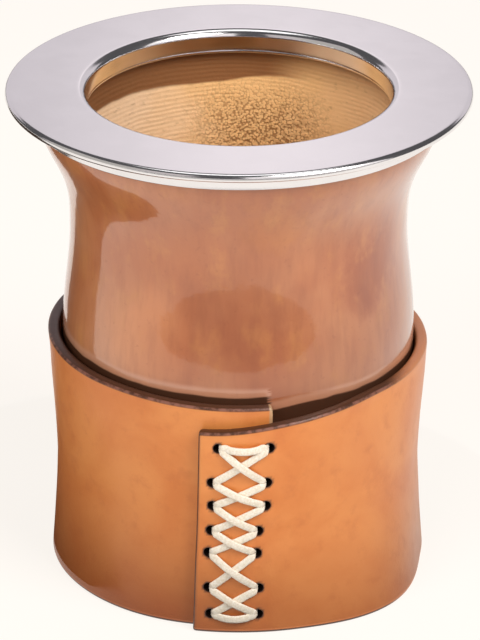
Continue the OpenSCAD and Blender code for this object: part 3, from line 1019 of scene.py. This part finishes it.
# Studio: a pale floor, soft boxes, and cards that only show as reflections. Lengths are in metres here.
studio = {
    "viewDistance": 0.9,
    "viewElevation": 24.67,
    "aimHeight": 0.0521,
    "lens": 241.2,
    "sensorWidth": 36,
    "shiftX": 0.00266,
    "roll": 0.2,
    "floorReach": 3,
    "floorColour": colour(0.20, 0.192, 0.18),
    "floorGlow": 0.87,
    "floorGlowColour": colour(1.0, 0.955, 0.905),
    "world": colour(0.90, 0.88, 0.92),
    "worldStrength": 0.10,
    "wallRadius": 1.2,
    "wallLow": 0.22,
    "wallHigh": 1.3,
    "cardLift": 0.002,       # of the sheets that lie on the floor
}
softBoxes = {
    "keyBox": {"azimuth": 45, "elevation": 45, "distance": 1.0, "width": 0.5, "height": 0.6,
               "power": 7.6, "tint": (1, 0.98, 0.95)},
    "fillBox": {"azimuth": -32, "elevation": 35, "distance": 1.2, "width": 0.8, "height": 0.8,
                "power": 8.2, "tint": (1, 0.98, 0.96), "glossy": False},
    "topBox": {"azimuth": 180, "elevation": 80, "distance": 1.0, "width": 0.6, "height": 0.5,
               "power": 1.4},
}
shades = {  # corners on the floor and the tone that the shiny parts mirror
    "sideShade": ([(-0.030, -0.034), (-0.080, -0.030), (-0.12, 0.006), (-0.984, 0.276),
                   (-0.622, 0.798), (-0.036, 0.026)], (0.05, 0.03, 0.02)),
    "frontShade": ([(-0.5, -0.205), (-0.5, -0.7), (0.5, -0.7), (0.5, -0.205)], (0.42, 0.40, 0.40)),
}
walls = {  # from and to, in degrees, and the tone
    "rightWall": (3, 75, (1.05, 1.0, 1.0)),
    "leftWall": (-105, -22, (0.62, 0.57, 0.57)),
}


def placed(azimuth, elevation, distance, aim=(0, 0, 0.06)):
    a, e = math.radians(azimuth), math.radians(elevation)
    away = Vector((math.sin(a) * math.cos(e), -math.cos(a) * math.cos(e), math.sin(e)))
    return Vector(aim) + away * distance


def facing(location, aim=(0, 0, 0.06)):
    turn = (Vector(aim) - location).to_track_quat("-Z", "Y").to_matrix().to_4x4()
    return Matrix.Translation(location) @ turn


def addSheet(name, points, faces):
    mesh = bpy.data.meshes.new(name)
    mesh.from_pydata(points, [], faces)
    return addObject(name, mesh)


def softBox(name, azimuth, elevation, distance, width, height, power, tint=(1, 1, 1), glossy=True):
    light = bpy.data.lights.new(name, "AREA")
    light.shape = "RECTANGLE"
    light.size = width
    light.size_y = height
    light.energy = power
    light.color = tint
    made = addObject(name, light)
    made.matrix_world = facing(placed(azimuth, elevation, distance))
    made.visible_camera = False
    made.visible_glossy = glossy


def toneMaterial(name, tone):  # tone is a colour, or a function that makes one from nodes
    material = bpy.data.materials.new(name)
    material.use_nodes = True
    tree = material.node_tree
    tree.nodes.clear()
    glow = addNode(tree, "Emission")
    if callable(tone):
        tree.links.new(tone(tree), glow.inputs["Color"])
    else:
        glow.inputs["Color"].default_value = colour(*tone)
    output = addNode(tree, "OutputMaterial")
    tree.links.new(glow.outputs[0], output.inputs["Surface"])
    return material


def glowTone(edge, middle, centre, reach):
    # brighter round one spot of the card, in metres from its middle
    def make(tree):
        where = addNode(tree, "TexCoord").outputs["Object"]
        return blendColours(tree, ramp(tree, distanceTo(tree, where, centre), 0.0, reach), middle, edge)
    return make


def setUpCard(made, tone, diffuse=False, glossy=True):  # unseen itself, and casts no shadow
    made.data.materials.append(toneMaterial(made.name, tone))
    made.visible_camera = False
    made.visible_diffuse = diffuse
    made.visible_glossy = glossy
    made.visible_shadow = False


def card(name, location, aim, width, height, tone):
    w, h = width / 2, height / 2
    made = addSheet(name, [(-w, -h, 0), (w, -h, 0), (w, h, 0), (-w, h, 0)], [(0, 1, 2, 3)])
    made.matrix_world = facing(Vector(location), aim)
    setUpCard(made, tone)


def floorCard(name, corners, tone):  # a dark or pale sheet on the floor
    points = [(x, y, studio["cardLift"]) for x, y in corners]
    setUpCard(addSheet(name, points, [range(len(corners))]), tone)


def wall(name, start, end, tone):  # part of a round wall about the cup
    phi = np.linspace(start, end, 25)
    edges = [around(phi, studio["wallRadius"], height) for height in (studio["wallLow"], studio["wallHigh"])]
    points = np.array(edges).reshape(-1, 3).tolist()
    setUpCard(addSheet(name, points, gridFaces(2, 25, closedColumns=False)), tone)


def groundRing(name, centre, inner, outer, tone):  # darkens the light that the floor throws up
    turn = np.radians(np.arange(64) * 360 / 64)
    ring = np.stack([np.cos(turn), np.sin(turn), 0 * turn], -1)
    points = np.concatenate([ring * inner, ring * outer]) + np.array(centre)
    setUpCard(addSheet(name, points.tolist(), gridFaces(2, 64)), tone, diffuse=True, glossy=False)


def makeFloor():
    reach = studio["floorReach"]
    corners = [(-reach, -reach, 0), (reach, -reach, 0), (reach, reach, 0), (-reach, reach, 0)]
    floor = addSheet("floor", corners, [(0, 1, 2, 3)])
    material, _, shader, _ = startMaterial("paleFloor", Roughness=0.9, Specular_IOR_Level=0.0)
    shader.inputs["Base Color"].default_value = studio["floorColour"]
    shader.inputs["Emission Color"].default_value = studio["floorGlowColour"]
    shader.inputs["Emission Strength"].default_value = studio["floorGlow"]
    floor.data.materials.append(material)


def makeCamera():
    data = bpy.data.cameras.new("camera")
    data.lens = studio["lens"]
    data.sensor_width = studio["sensorWidth"]
    data.shift_x = studio["shiftX"]
    data.clip_end = 20
    camera = addObject("camera", data)
    aim = (0, 0, studio["aimHeight"])
    location = placed(0, studio["viewElevation"], studio["viewDistance"], aim)
    camera.matrix_world = facing(location, aim) @ Matrix.Rotation(math.radians(studio["roll"]), 4, "Z")
    bpy.context.scene.camera = camera


def makeStudio():
    world = bpy.data.worlds.new("studio")
    world.use_nodes = True
    sky = world.node_tree.nodes["Background"]
    sky.inputs["Color"].default_value = studio["world"]
    sky.inputs["Strength"].default_value = studio["worldStrength"]
    bpy.context.scene.world = world
    bpy.context.scene.view_settings.view_transform = "Standard"
    makeFloor()
    for name, settings in softBoxes.items():
        softBox(name, **settings)
    glow = glowTone(colour(0.72, 0.67, 0.71), colour(1.08, 1.0, 1.04), (-0.01, 0.07, 0), 0.10)
    card("backCard", (0, 0.62, 0.30), (0, 0, 0.105), 1.4, 0.34, glow)
    card("leftCard", placed(-75, 22, 0.8), (0, 0, 0.09), 0.7, 0.6, (0.5, 0.48, 0.45))
    for name, (corners, tone) in shades.items():
        floorCard(name, corners, tone)
    for name, (start, end, tone) in walls.items():
        wall(name, start, end, tone)
    groundRing("groundShade", (-0.012, 0, 0.001), 0.02, 0.078, (0.05, 0.04, 0.03))


makeStudio()
makeCamera()
print("studio set")
